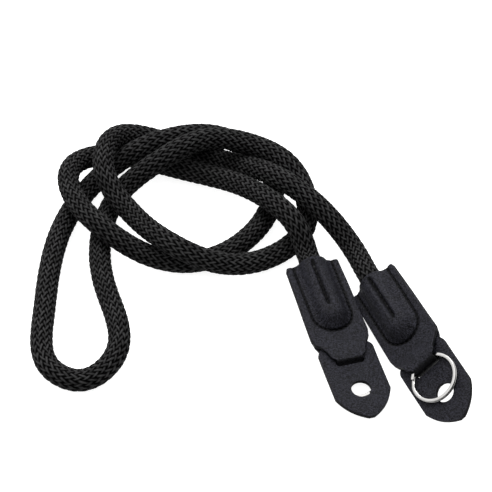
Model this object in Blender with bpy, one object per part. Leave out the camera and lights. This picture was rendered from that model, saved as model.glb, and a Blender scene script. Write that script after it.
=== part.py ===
"""Camera neck strap: a round braided rope with a leather end and a split ring at each end.

Frame: metres, +Z up. The strap lies on the plane z = 0, and the origin is on that plane, below the
middle of the two leather ends. +X is to the right and +Y away from someone who stands at the leather ends.

Each leather end is modelled in its own frame: the origin is the mouth of the rope's pocket, +Y runs from
the mouth to the pad's tip, and +Z is the front, the side on which the split ring lies.
"""

import math

import bmesh
import bpy
import numpy as np
from mathutils import Euler, Matrix, Vector

# Rope
ROPE_DIAMETER = 0.008
ROPE_POINTS = 80
ROPE_IN_POCKET = 0.022
ROPE_OUT_STRAIGHT = 0.003

# Leather tab that holds the rope
LEATHER = 0.0012
TAB_MOUTH_HALF_WIDTH = 0.0097
TAB_HALF_WIDTH = 0.0104
TAB_CORNER = 0.0008
BULGE_RADIUS = 0.0055
BORE_RADIUS = 0.0043
BORE_DEPTH = 0.0230
SEAM_HALF_WIDTH = 0.0073
SEAM_TURN = 0.0232
BULGE_BASE = 0.0011
BULGE_LIP = 0.0003
GROOVE_RADIUS = 0.0008
GROOVE_X = -0.0007
GROOVE_START = 0.0025
GROOVE_END = 0.0210

# Fold of the tab that goes over the split ring and through the pad's slit: (y, z) of its side view
FOLD_OUTSIDE = (
    (0.0344, 0.0012), (0.0379, 0.0026), (0.0396, 0.0039), (0.0406, 0.00435), (0.0431, 0.00435),
    (0.0444, 0.0038), (0.0451, 0.0026), (0.0451, 0.0009), (0.0444, -0.0014), (0.0440, -0.0020),
    (0.0433, -0.0023), (0.0366, -0.0023), (0.0348, -0.0012),
)
FOLD_INSIDE = (
    (0.0362, 0.0000), (0.0365, 0.00095), (0.0386, 0.0016), (0.0403, 0.0029), (0.0409, 0.00315),
    (0.0430, 0.00315), (0.04365, 0.0028), (0.0439, 0.0022), (0.0439, 0.0009), (0.0432, -0.0011),
    (0.0368, -0.0011),
)
# Half width of the strip at some distances from the mouth: (y, half width)
TAB_SIDES = (
    (0.0080, 0.0099), (0.0325, TAB_HALF_WIDTH), (0.0350, 0.0098), (0.0370, 0.0084), (0.0400, 0.0068),
    (0.0424, 0.0061), (0.0434, 0.0046), (0.0470, 0.0046),
)

# Pad
PAD_THICKNESS = 0.0015
PAD_HALF_WIDTH = 0.0101
PAD_SHOULDER = 0.0369
PAD_SHOULDER_RADIUS = 0.0030
PAD_CORNER = 0.0585
PAD_TIP = 0.0684
PAD_TIP_HALF_WIDTH = 0.0010
PAD_ARCH = 0.0013
PAD_HOLE_Y = 0.0564
PAD_HOLE_RADIUS = 0.0035
SLIT_Y = 0.0442
SLIT_WIDTH = 0.0024
SLIT_HALF_LENGTH = 0.0052
BEND_Y = 0.0460
BEND_ANGLE = math.radians(2.5)

# Split ring: two turns of flat wire
RING_Y = 0.0498
RING_OUTER_RADIUS = 0.00885
RING_WIRE_WIDTH = 0.00115
RING_WIRE_HEIGHT = 0.0007
RING_WIRE_CHAMFER = 0.00015
RING_TURN_GAP = 0.0001
RING_OVER_PAD = 0.0003
RING_STEP_AT = math.radians(-21.0)
RING_STEP_ARC = math.radians(26.0)
RING_END_GAP = math.radians(2.5)
RING_SEGMENTS = 72

# Where the two ends lie: mouth of the pocket, then heading, pitch and roll in degrees
LEFT_END = ((-0.0223, 0.0339, 0.00690), (196.8, -2.9, 176.3))
RIGHT_END = ((-0.0005, 0.0262, 0.00680), (204.0, 3.2, 37.6))

# Places that the rope's centre line passes on its way from the left end to the right end, in millimetres
ROPE_ROUTE = (
    # up out of the left end and back to the far left, over the two loops that lie there
    (-27, 45, 13.5), (-38, 58.5, 15), (-51, 71.5, 9.5), (-73, 82, 6), (-98, 88, 6),
    # round the left and forwards
    (-110, 78, 10.5), (-108, 60, 13), (-96, 45, 13), (-82, 39, 7), (-65, 37, 5),
    # the wide loop on the surface
    (-36.5, 65, 4.5), (-38.5, 84.5, 5), (-54, 93.5, 9.5),
    # back across the top and down to the left
    (-71, 89.5, 14.5), (-86, 84, 13), (-102, 75, 5), (-111, 59, 4.5),
    # the long loop at the left
    (-117.5, 10, 5.5), (-113.5, -11, 4.5), (-103, -15.5, 4), (-92, -7, 5.5), (-95, 21, 6), (-98.5, 49, 4.5),
    # over the heap to its right side and round the front
    (-92, 69, 6.5), (-77, 77, 15.5), (-61, 84.5, 18.5), (-44, 84.8, 15.5), (-29.5, 76, 13), (-24, 55, 5),
    (-35, 40.5, 5), (-56, 32.5, 10), (-73, 37.5, 15),
    # up the left of the heap, round its back and out to the right end
    (-88, 55, 12), (-97, 68, 16.5), (-94, 88.5, 15.5), (-76, 93, 7.5), (-54, 86, 5),
    (-35, 68.5, 16), (-17, 53, 13), (-6, 41, 5),
)


def clear_scene():
    """Remove every object of the start scene."""
    for obj in list(bpy.data.objects):
        bpy.data.objects.remove(obj, do_unlink=True)


def make_material(name, colour, roughness, metallic=0.0):
    """A plain Principled material."""
    material = bpy.data.materials.new(name)
    material.use_nodes = True
    shader = material.node_tree.nodes["Principled BSDF"]
    shader.inputs["Base Color"].default_value = (*colour, 1.0)
    shader.inputs["Roughness"].default_value = roughness
    shader.inputs["Metallic"].default_value = metallic
    return material


def add_object(name, data, parent=None, material=None, cutter=False):
    """Link an object with this data, placed by its parent."""
    obj = bpy.data.objects.new(name, data)
    bpy.context.scene.collection.objects.link(obj)
    obj.parent = parent
    if material is not None:
        data.materials.append(material)
    if cutter:
        obj.hide_render = True
        obj.display_type = "WIRE"
    return obj


def mesh_from_bmesh(name, bm, smooth_angle=None):
    """Turn a finished bmesh into a mesh with its faces pointing out."""
    bmesh.ops.recalc_face_normals(bm, faces=bm.faces)
    mesh = bpy.data.meshes.new(name)
    bm.to_mesh(mesh)
    bm.free()
    if smooth_angle is not None:
        mesh.shade_smooth()
        mesh.set_sharp_from_angle(angle=math.radians(smooth_angle))
    return mesh


def arc(centre, radius, start, end, steps):
    """Points along an arc, angles in degrees, both ends included."""
    angles = np.radians(np.linspace(start, end, steps + 1))
    return [(centre[0] + radius * math.cos(a), centre[1] + radius * math.sin(a)) for a in angles]


def plate(name, outline, holes, low, high, axes):
    """A flat plate with holes: outlines in one plane, extruded between two levels along the third axis.

    axes gives, for a point (a, b) at a level c, which of a, b and c is x, y and z.
    """
    bm = bmesh.new()
    for loop in (outline, *holes):
        verts = [bm.verts.new([(a, b, low)[axis] for axis in axes]) for a, b in loop]
        for first, second in zip(verts, verts[1:] + verts[:1]):
            bm.edges.new((first, second))
    bmesh.ops.triangle_fill(bm, use_beauty=True, use_dissolve=False, edges=bm.edges[:])
    raised = bmesh.ops.extrude_face_region(bm, geom=bm.faces[:])
    step = Vector([(0.0, 0.0, high - low)[axis] for axis in axes])
    moved = [item for item in raised["geom"] if isinstance(item, bmesh.types.BMVert)]
    bmesh.ops.translate(bm, verts=moved, vec=step)
    return mesh_from_bmesh(name, bm)


def rod_mesh(name, radius, start, end, z, sides):
    """A round rod along Y from start to end, at height z."""
    bm = bmesh.new()
    turn = Matrix.Rotation(math.pi / 2, 4, "X")
    place = Matrix.Translation((0.0, (start + end) / 2, z)) @ turn
    bmesh.ops.create_cone(
        bm, cap_ends=True, cap_tris=False, segments=sides, radius1=radius, radius2=radius,
        depth=end - start, matrix=place,
    )
    return mesh_from_bmesh(name, bm)


def tab_side_mesh():
    """The doubled strip seen from the side: two layers together, parting around the eye of the fold."""
    outline = ((-0.001, -LEATHER), (-0.001, LEATHER), *FOLD_OUTSIDE)
    width = TAB_HALF_WIDTH + 0.002
    return plate("tab_side", outline, (FOLD_INSIDE,), -width, width, axes=(2, 0, 1))


def tab_plan_mesh():
    """The strip seen from the front: straight, then narrowing to the fold."""
    corner = arc((TAB_MOUTH_HALF_WIDTH - TAB_CORNER, TAB_CORNER), TAB_CORNER, -90, 0, 4)
    right = corner + [(half, y) for y, half in TAB_SIDES]
    left = [(-x, y) for x, y in reversed(right)]
    return plate("tab_plan", right + left, (), -0.008, 0.008, axes=(0, 1, 2))


def pocket_height(across, crown):
    """Height of the pocket's skin: an arch over the rope that runs out into the flat seam.

    across is 0 over the rope and 1 at the seam, and crown is the height of the arch there.
    """
    x = abs(across) * SEAM_HALF_WIDTH
    fillet = (SEAM_HALF_WIDTH**2 + BULGE_BASE**2 - BULGE_RADIUS**2) / (2 * (BULGE_RADIUS - BULGE_BASE))
    reach = BULGE_RADIUS / (BULGE_RADIUS + fillet)
    if x <= reach * SEAM_HALF_WIDTH:
        height = math.sqrt(BULGE_RADIUS**2 - x**2)
    else:
        height = BULGE_BASE + fillet - math.sqrt(max(fillet**2 - (SEAM_HALF_WIDTH - x) ** 2, 0.0))
    return BULGE_BASE + (height - BULGE_BASE) * (crown - BULGE_BASE) / (BULGE_RADIUS - BULGE_BASE)


def pocket_mesh():
    """The swelling around the rope: an arch on both faces that ends in a low dome inside the U seam."""
    stations = [(-BULGE_LIP, 1.0, BULGE_RADIUS), (0.008, 1.0, BULGE_RADIUS), (0.016, 1.0, BULGE_RADIUS)]
    for t in np.linspace(0.0, 0.985, 10):
        narrowing = math.sqrt(1.0 - t * t)
        crown = BULGE_BASE + (BULGE_RADIUS - BULGE_BASE) * (1.0 - t * t) ** 1.15
        stations.append((SEAM_TURN + t * SEAM_HALF_WIDTH, narrowing, crown))
    columns = np.sin(np.linspace(-1.0, 1.0, 19) * math.pi / 2)
    bm = bmesh.new()
    rows = []
    for y, narrowing, crown in stations:
        front = [(c * narrowing * SEAM_HALF_WIDTH, y, pocket_height(c, crown)) for c in columns]
        back = [(x, y, -z) for x, y, z in reversed(front)]
        rows.append([bm.verts.new(point) for point in front + back])
    for first, second in zip(rows, rows[1:]):
        for i in range(len(first)):
            j = (i + 1) % len(first)
            bm.faces.new((first[i], first[j], second[j], second[i]))
    bm.faces.new(rows[0])
    bm.faces.new(reversed(rows[-1]))
    return mesh_from_bmesh("pocket", bm)


def groove_mesh():
    """The two stitched grooves along the middle of the pocket, one on each face."""
    bm = bmesh.new()
    for side in (-1, 1):
        middle = (GROOVE_X, (GROOVE_START + GROOVE_END) / 2, side * (BULGE_RADIUS + 0.0002))
        place = Matrix.Translation(middle) @ Matrix.Rotation(math.pi / 2, 4, "X")
        bmesh.ops.create_cone(
            bm, cap_ends=True, cap_tris=False, segments=10, radius1=GROOVE_RADIUS, radius2=GROOVE_RADIUS,
            depth=GROOVE_END - GROOVE_START, matrix=place,
        )
    return mesh_from_bmesh("grooves", bm)


def pad_outline():
    """Pad seen from the front, anticlockwise: square shoulders, straight sides and a pointed arch."""
    shoulder = arc(
        (PAD_HALF_WIDTH - PAD_SHOULDER_RADIUS, PAD_SHOULDER + PAD_SHOULDER_RADIUS), PAD_SHOULDER_RADIUS, -90, 0, 6
    )
    start = Vector((PAD_HALF_WIDTH, PAD_CORNER))
    end = Vector((PAD_TIP_HALF_WIDTH, PAD_TIP))
    along = end - start
    outwards = Vector((along.y, -along.x)).normalized()
    arch = []
    for t in np.linspace(0.0, 1.0, 9):
        point = start + along * t + outwards * (PAD_ARCH * 4.0 * t * (1.0 - t))
        arch.append((point.x, point.y))
    right = shoulder + arch
    return right + [(-x, y) for x, y in reversed(right)]


def slit_outline():
    """The slit across the pad, with half-round ends."""
    radius = SLIT_WIDTH / 2
    straight = SLIT_HALF_LENGTH - radius
    return arc((straight, SLIT_Y), radius, -90, 90, 6) + arc((-straight, SLIT_Y), radius, 90, 270, 6)


def pad_mesh():
    """The flat pad with its slit and hole, bent a little to the back below the slit."""
    hole = arc((0.0, PAD_HOLE_Y), PAD_HOLE_RADIUS, 0, 345, 23)
    half = PAD_THICKNESS / 2
    flat = plate("pad_flat", pad_outline(), (slit_outline(), hole), -half, half, axes=(0, 1, 2))
    bm = bmesh.new()
    bm.from_mesh(flat)
    bpy.data.meshes.remove(flat)
    bmesh.ops.bisect_plane(
        bm, geom=bm.verts[:] + bm.edges[:] + bm.faces[:], dist=1e-7, plane_co=(0, BEND_Y, 0), plane_no=(0, 1, 0)
    )
    for vert in bm.verts:
        beyond = vert.co.y - BEND_Y
        if beyond > 1e-6:
            vert.co = bend_point(vert.co)
        elif beyond > -1e-6:
            vert.co.y = BEND_Y + vert.co.z * math.tan(BEND_ANGLE / 2)
    bmesh.ops.triangulate(bm, faces=bm.faces[:])
    return mesh_from_bmesh("pad", bm)


def bend_point(point):
    """Where a point of the flat pad beyond the bend comes to lie."""
    pivot = Vector((0.0, BEND_Y, 0.0))
    return pivot + Matrix.Rotation(-BEND_ANGLE, 3, "X") @ (Vector(point) - pivot)


def split_ring_mesh():
    """Two flat turns of wire, one on the other, joined by a short slanting step."""
    middle = RING_OUTER_RADIUS - RING_WIRE_WIDTH / 2
    lift = (RING_WIRE_HEIGHT + RING_TURN_GAP) / 2
    a = RING_WIRE_WIDTH / 2
    b = RING_WIRE_HEIGHT / 2
    c = RING_WIRE_CHAMFER
    section = (
        (a, -b + c), (a, b - c), (a - c, b), (-a + c, b), (-a, b - c), (-a, -b + c), (-a + c, -b), (a - c, -b)
    )
    half_step = RING_STEP_ARC / 2
    first = half_step + RING_END_GAP
    last = 4 * math.pi - half_step - RING_END_GAP
    bm = bmesh.new()
    rows = []
    for turn in np.linspace(first, last, RING_SEGMENTS + 1):
        t = min(max((turn - 2 * math.pi + half_step) / RING_STEP_ARC, 0.0), 1.0)
        level = lift * (2.0 * t * t * (3.0 - 2.0 * t) - 1.0)
        angle = turn + RING_STEP_AT
        row = []
        for out, up in section:
            radius = middle + out
            row.append(bm.verts.new((radius * math.cos(angle), radius * math.sin(angle), level + up)))
        rows.append(row)
    for start, end in zip(rows, rows[1:]):
        for i in range(len(start)):
            j = (i + 1) % len(start)
            bm.faces.new((start[i], start[j], end[j], end[i]))
    bm.faces.new(rows[0])
    bm.faces.new(reversed(rows[-1]))
    return mesh_from_bmesh("split_ring", bm, smooth_angle=40)


def ring_placement():
    """Middle and tilt of the ring: it lies on the bent part of the pad, in front of it."""
    stack = RING_WIRE_HEIGHT * 2 + RING_TURN_GAP
    over = PAD_THICKNESS / 2 + RING_OVER_PAD + stack / 2
    middle = bend_point((0.0, RING_Y, over))
    return middle, -BEND_ANGLE


def add_boolean(obj, name, operation, cutter):
    """Cut or join with another object."""
    modifier = obj.modifiers.new(name, "BOOLEAN")
    modifier.operation = operation
    modifier.solver = "EXACT"
    modifier.object = cutter


def place_end(side, placement):
    """The empty at the mouth of one end's pocket."""
    mouth, angles = placement
    heading, pitch, roll = (math.radians(angle) for angle in angles)
    frame = bpy.data.objects.new(f"{side}_end", None)
    bpy.context.scene.collection.objects.link(frame)
    frame.empty_display_size = 0.01
    frame.rotation_mode = "YXZ"
    frame.rotation_euler = Euler((pitch, roll, heading), "YXZ")
    frame.location = mouth
    return frame


def add_end(side, placement, meshes, materials):
    """One leather end: the tab, the pad and the split ring."""
    frame = place_end(side, placement)
    tab = add_object(f"{side}_tab", meshes["tab"].copy(), frame, materials["leather"])
    plan = add_object(f"{side}_cut_plan", meshes["plan"], frame, cutter=True)
    pocket = add_object(f"{side}_pocket", meshes["pocket"], frame, cutter=True)
    bore = add_object(f"{side}_cut_bore", meshes["bore"], frame, cutter=True)
    grooves = add_object(f"{side}_cut_grooves", meshes["grooves"], frame, cutter=True)
    add_boolean(tab, "outline", "INTERSECT", plan)
    add_boolean(tab, "pocket", "UNION", pocket)
    add_boolean(tab, "bore", "DIFFERENCE", bore)
    add_boolean(tab, "grooves", "DIFFERENCE", grooves)
    add_object(f"{side}_pad", meshes["pad"].copy(), frame, materials["leather"])
    ring = add_object(f"{side}_split_ring", meshes["ring"].copy(), frame, materials["nickel"])
    ring.location, ring.rotation_euler.x = ring_placement()
    return frame


def in_pocket(placement, depth):
    """A point on the axis of an end's pocket, at this depth behind its mouth."""
    mouth, angles = placement
    heading, pitch, roll = (math.radians(angle) for angle in angles)
    turn = Euler((pitch, roll, heading), "YXZ").to_matrix()
    return Vector(mouth) + turn @ Vector((0.0, depth, 0.0))


def smooth_curve(points):
    """A natural cubic spline through points, spaced by their distance: places and tangents, closely read."""
    knots = np.array(points, dtype=float)
    gaps = np.linalg.norm(np.diff(knots, axis=0), axis=1)
    count = len(knots)
    system = np.zeros((count, count))
    right = np.zeros((count, 3))
    system[0, 0] = system[-1, -1] = 1.0
    for i in range(1, count - 1):
        system[i, i - 1] = gaps[i - 1]
        system[i, i] = 2.0 * (gaps[i - 1] + gaps[i])
        system[i, i + 1] = gaps[i]
        right[i] = 6.0 * ((knots[i + 1] - knots[i]) / gaps[i] - (knots[i] - knots[i - 1]) / gaps[i - 1])
    bend = np.linalg.solve(system, right)
    places = []
    for i, gap in enumerate(gaps):
        t = np.linspace(0.0, 1.0, 60, endpoint=i == count - 2)[:, None]
        s = 1.0 - t
        places.append(
            s * knots[i] + t * knots[i + 1]
            + gap * gap / 6.0 * ((s**3 - s) * bend[i] + (t**3 - t) * bend[i + 1])
        )
    return np.concatenate(places)


def rope_places():
    """Points for the rope's tube, closer together where it bends more."""
    depths = (ROPE_IN_POCKET, ROPE_IN_POCKET / 2, 0.0, -ROPE_OUT_STRAIGHT)
    start = [in_pocket(LEFT_END, depth) for depth in depths]
    end = [in_pocket(RIGHT_END, depth) for depth in reversed(depths)]
    route = [Vector(place) * 0.001 for place in ROPE_ROUTE]
    line = smooth_curve([*start, *route, *end])
    steps = np.diff(line, axis=0)
    lengths = np.linalg.norm(steps, axis=1)
    tangents = steps / lengths[:, None]
    turns = np.linalg.norm(np.diff(tangents, axis=0), axis=1)
    turns = np.concatenate([[0.0], turns])
    weight = lengths / lengths.sum() + 1.6 * turns / turns.sum()
    along = np.concatenate([[0.0], np.cumsum(weight)])
    wanted = np.linspace(0.0, along[-1], ROPE_POINTS)
    return np.stack([np.interp(wanted, along, line[:, axis]) for axis in range(3)], axis=1)


def add_rope(material):
    """The rope as a round tube along its route."""
    curve = bpy.data.curves.new("rope", "CURVE")
    curve.dimensions = "3D"
    curve.bevel_depth = ROPE_DIAMETER / 2
    curve.bevel_resolution = 3
    curve.use_fill_caps = True
    places = rope_places()
    spline = curve.splines.new("POLY")
    spline.points.add(len(places) - 1)
    for point, place in zip(spline.points, places):
        point.co = (*place, 1.0)
    return add_object("rope", curve, material=material)


def build():
    """Build the strap."""
    clear_scene()
    materials = {
        "rope": make_material("black_rope", (0.020, 0.020, 0.022), 0.75),
        "leather": make_material("black_leather", (0.026, 0.026, 0.031), 0.55),
        "nickel": make_material("nickel_plate", (0.72, 0.71, 0.69), 0.18, 1.0),
    }
    meshes = {
        "tab": tab_side_mesh(),
        "plan": tab_plan_mesh(),
        "pocket": pocket_mesh(),
        "bore": rod_mesh("bore", BORE_RADIUS, -0.001, BORE_DEPTH, 0.0, 28),
        "grooves": groove_mesh(),
        "pad": pad_mesh(),
        "ring": split_ring_mesh(),
    }
    add_end("left", LEFT_END, meshes, materials)
    add_end("right", RIGHT_END, meshes, materials)
    add_rope(materials["rope"])


build()
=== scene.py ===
"""Looks of a camera neck strap: a braided rope with a stitched leather end and a split ring at each end.

The strap lies on a pale studio floor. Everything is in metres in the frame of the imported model: +Z up, the
origin on the floor below the middle of the two leather ends. Each leather end is made in its own frame, with
the origin at the mouth of the rope's pocket, +Y from the mouth to the pad's tip and +Z the front, the side on
which the split ring lies, and is then put in its place.
"""

import logging
import math
from collections.abc import Iterator
from contextlib import contextmanager
from dataclasses import dataclass, field
from enum import Enum

import bmesh
import bpy
import numpy as np
from bpy.types import ID, Material, Mesh, NodeSocket, Object, ShaderNode
from mathutils import Euler, Matrix, Vector


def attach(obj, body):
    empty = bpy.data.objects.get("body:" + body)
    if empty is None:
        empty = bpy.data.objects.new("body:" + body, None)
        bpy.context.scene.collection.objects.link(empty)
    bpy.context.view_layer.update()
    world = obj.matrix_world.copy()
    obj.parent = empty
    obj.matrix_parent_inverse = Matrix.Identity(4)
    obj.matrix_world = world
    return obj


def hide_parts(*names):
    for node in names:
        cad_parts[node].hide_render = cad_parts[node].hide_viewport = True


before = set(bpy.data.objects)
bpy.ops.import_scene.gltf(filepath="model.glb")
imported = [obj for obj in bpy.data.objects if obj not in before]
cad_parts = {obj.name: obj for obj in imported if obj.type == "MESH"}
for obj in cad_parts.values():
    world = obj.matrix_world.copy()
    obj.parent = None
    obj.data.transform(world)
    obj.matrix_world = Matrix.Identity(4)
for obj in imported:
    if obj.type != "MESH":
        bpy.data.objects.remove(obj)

log = logging.getLogger("camera_strap")

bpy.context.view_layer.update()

WHITE = (1.0, 1.0, 1.0, 1.0)

Point = tuple[float, float, float]


class Face(Enum):
    """The two faces of a leather end."""

    FRONT = 1
    BACK = -1


class Slot(Enum):
    """The record's names for the strap's materials."""

    ROPE = "black_rope"
    LEATHER = "black_leather"
    METAL = "nickel"


# --- Workbench: small helpers for modelling and for materials ---


def clear_selection() -> None:
    """Leave edit mode, with nothing selected and nothing active."""
    if bpy.context.mode != "OBJECT":
        bpy.ops.object.mode_set(mode="OBJECT")
    bpy.ops.object.select_all(action="DESELECT")
    bpy.context.view_layer.objects.active = None


def pick(piece: Object) -> None:
    """Select one piece alone and make it the active one.

    Args:
        piece: The object to work on.
    """
    clear_selection()
    piece.select_set(True)
    bpy.context.view_layer.objects.active = piece


def apply_modifiers(piece: Object) -> None:
    """Apply all modifiers of a piece in their order.

    Args:
        piece: The object whose modifiers become part of its mesh.
    """
    pick(piece)
    for modifier in list(piece.modifiers):
        bpy.ops.object.modifier_apply(modifier=modifier.name)


def add_modifier(piece: Object, kind: str, **settings: object) -> None:
    """Add a modifier to a piece.

    Args:
        piece: The object to change.
        kind: Blender's name of the modifier's type.
        **settings: The modifier's settings.
    """
    made = piece.modifiers.new(kind.lower(), kind)
    for name, value in settings.items():
        setattr(made, name, value)


def vertex_places(mesh: Mesh) -> np.ndarray:
    """Read a mesh's vertices.

    Args:
        mesh: The mesh to read.

    Returns:
        One row of x, y, z for each vertex.
    """
    places = np.zeros(len(mesh.vertices) * 3)
    mesh.vertices.foreach_get("co", places)
    return places.reshape(-1, 3)


def move_vertices(mesh: Mesh, places: np.ndarray) -> None:
    """Put a mesh's vertices in new places.

    Args:
        mesh: The mesh to change.
        places: One row of x, y, z for each vertex.
    """
    mesh.vertices.foreach_set("co", np.ascontiguousarray(places, dtype=np.float32).ravel())
    mesh.update()


def finish_piece(piece: Object, slot: Slot, smooth_angle: float) -> None:
    """Apply a piece's place, smooth it and let it ride on the strap.

    Args:
        piece: The finished object.
        slot: Not used.
        smooth_angle: Edges sharper than this, in degrees, stay sharp.
    """
    pick(piece)
    bpy.ops.object.transform_apply(location=True, rotation=True, scale=True)
    bpy.ops.object.shade_smooth_by_angle(angle=math.radians(smooth_angle))
    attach(piece, "root")
    clear_selection()
    log.info("%s: %d faces", piece.name, len(piece.data.polygons))


def add_object(name: str, data: ID) -> Object:
    """Put a new object in the scene.

    Args:
        name: Its name.
        data: Its mesh, light or camera.

    Returns:
        The object.
    """
    made = bpy.data.objects.new(name, data)
    bpy.context.scene.collection.objects.link(made)
    return made


@contextmanager
def editing(piece: Object) -> Iterator[None]:
    """Work on all of a piece's mesh in edit mode.

    Args:
        piece: The object to edit.
    """
    pick(piece)
    bpy.ops.object.mode_set(mode="EDIT")
    bpy.ops.mesh.select_all(action="SELECT")
    yield
    bpy.ops.object.mode_set(mode="OBJECT")


def keep_numbers(mesh: Mesh, name: str, values: np.ndarray) -> None:
    """Keep a number at each vertex, for the finish to read.

    Args:
        mesh: The mesh that keeps them.
        name: What the finish calls them.
        values: One number for each vertex.
    """
    kept = mesh.attributes.new(name, "FLOAT", "POINT")
    kept.data.foreach_set("value", values.astype(np.float32).ravel())


def keep_map(mesh: Mesh, name: str, places: np.ndarray) -> None:
    """Keep a flat map of a mesh, for the finish to read.

    Args:
        mesh: The mesh that keeps it.
        name: What the finish calls it.
        places: One row of u, v for each corner of each face.
    """
    mesh.uv_layers.new(name=name).data.foreach_set("uv", places.astype(np.float32).ravel())


def distances(points: np.ndarray) -> np.ndarray:
    """Measure how far along a line each of its points lies."""
    return np.concatenate([[0.0], np.cumsum(np.linalg.norm(np.diff(points, axis=0), axis=1))])


def read_along(where: np.ndarray, reached: np.ndarray, rows: np.ndarray) -> np.ndarray:
    """Read rows of values at distances along a line.

    Args:
        where: The distances to read at.
        reached: The distance of each row.
        rows: The values.

    Returns:
        The values there, on a last axis of their own.
    """
    return np.stack([np.interp(where, reached, column) for column in rows.T], axis=-1)


def ease(share: np.ndarray) -> np.ndarray:
    """Turn an even rise from 0 to 1 into one that starts and ends softly."""
    return share * share * (3.0 - 2.0 * share)


def part_of(values: np.ndarray, start: float, end: float) -> np.ndarray:
    """Find how far values have come on their way.

    Args:
        values: The values.
        start: Where the way starts.
        end: Where it ends.

    Returns:
        Their share of the way, from 0 to 1.
    """
    return np.clip((values - start) / (end - start), 0.0, 1.0)


def bell(values: np.ndarray, middle: float, reach: float) -> np.ndarray:
    """Read a soft peak.

    Args:
        values: Where to read it.
        middle: Where it is highest.
        reach: The distance from there at which it is down to about a third. It is gone at twice that.

    Returns:
        Its height there, at most 1.
    """
    return np.exp(-(((values - middle) / reach) ** 2))


@dataclass
class NodeBoard:
    """A material's node tree, filled in code.

    Attributes:
        name: The material's name.
        material: The material.
        shader: Its Principled shader.
        place: The place on the object.
        relief: The normal with all relief so far, or nothing.
    """

    name: str
    material: Material = field(init=False)
    shader: ShaderNode = field(init=False)
    place: NodeSocket = field(init=False)
    relief: NodeSocket | None = field(init=False, default=None)

    def __post_init__(self) -> None:
        """Make the material with its Principled shader, and a reading of the place on the object."""
        self.material = bpy.data.materials.new(self.name)
        self.material.use_nodes = True
        self.shader = self.material.node_tree.nodes["Principled BSDF"]
        self.place = self.node("ShaderNodeTexCoord").outputs["Object"]

    def node(self, kind: str, **settings: object) -> ShaderNode:
        """Add a node.

        Args:
            kind: Blender's name of the node type.
            **settings: Its properties, or the values of its inputs by name with spaces as underscores.

        Returns:
            The new node.
        """
        made = self.material.node_tree.nodes.new(kind)
        for key, value in settings.items():
            if hasattr(made, key):
                setattr(made, key, value)
            else:
                made.inputs[key.replace("_", " ")].default_value = value
        return made

    def link(self, output: NodeSocket, target: NodeSocket) -> None:
        """Join an output to an input."""
        self.material.node_tree.links.new(output, target)

    def math(self, operation: str, *values: float | NodeSocket) -> NodeSocket:
        """Add a Math node.

        Args:
            operation: The node's operation.
            *values: Its numbers or sockets, in order.

        Returns:
            The node's output.
        """
        made = self.node("ShaderNodeMath", operation=operation)
        for place, value in enumerate(values):
            if isinstance(value, NodeSocket):
                self.link(value, made.inputs[place])
            else:
                made.inputs[place].default_value = value
        return made.outputs[0]

    def noise(
        self, scale: float, detail: float, roughness: float, place: NodeSocket | None = None
    ) -> NodeSocket:
        """Add soft noise.

        Args:
            scale: How many patches of it a metre has.
            detail: How many finer layers it has.
            roughness: How strong they are.
            place: The place that it follows, or nothing for the place on the object.

        Returns:
            The noise's output, from 0 to 1.
        """
        made = self.node("ShaderNodeTexNoise", Scale=scale, Detail=detail, Roughness=roughness)
        self.link(self.place if place is None else place, made.inputs["Vector"])
        return made.outputs["Fac"]

    def kept(self, name: str) -> NodeSocket:
        """Read a number that the mesh keeps at each vertex."""
        return self.node("ShaderNodeAttribute", attribute_name=name).outputs["Fac"]

    def ramp(self, value: NodeSocket, low: float, high: float, start: float, end: float) -> NodeSocket:
        """Turn a range of values smoothly into another.

        Args:
            value: The value to read.
            low: Where the range starts.
            high: Where it ends.
            start: The result at low.
            end: The result at high.

        Returns:
            The result's output.
        """
        made = self.node("ShaderNodeMapRange", interpolation_type="SMOOTHSTEP")
        self.link(value, made.inputs["Value"])
        for name, number in (("From Min", low), ("From Max", high), ("To Min", start), ("To Max", end)):
            made.inputs[name].default_value = number
        return made.outputs["Result"]

    def bump(self, height: NodeSocket, strength: float, depth: float) -> None:
        """Add relief to the shading.

        Args:
            height: The relief's height from 0 to 1.
            strength: How strong it shows.
            depth: The real depth of the relief, in metres.
        """
        made = self.node("ShaderNodeBump", Strength=strength, Distance=depth)
        self.link(height, made.inputs["Height"])
        if self.relief is not None:
            self.link(self.relief, made.inputs["Normal"])
        self.relief = made.outputs["Normal"]

    def finished(self, colour: Point, shade: NodeSocket, **values: object) -> Material:
        """Wire up the shader.

        Args:
            colour: The material's colour.
            shade: How bright that colour is from place to place.
            **values: The shader's other inputs, by name with spaces as underscores.

        Returns:
            The material.
        """
        tint = self.node("ShaderNodeVectorMath", operation="SCALE")
        tint.inputs[0].default_value = colour
        self.link(shade, tint.inputs["Scale"])
        self.link(tint.outputs[0], self.shader.inputs["Base Color"])
        if self.relief is not None:
            self.link(self.relief, self.shader.inputs["Normal"])
        for key, value in values.items():
            self.shader.inputs[key.replace("_", " ")].default_value = value
        return self.material


# --- Finishes ---


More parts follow.
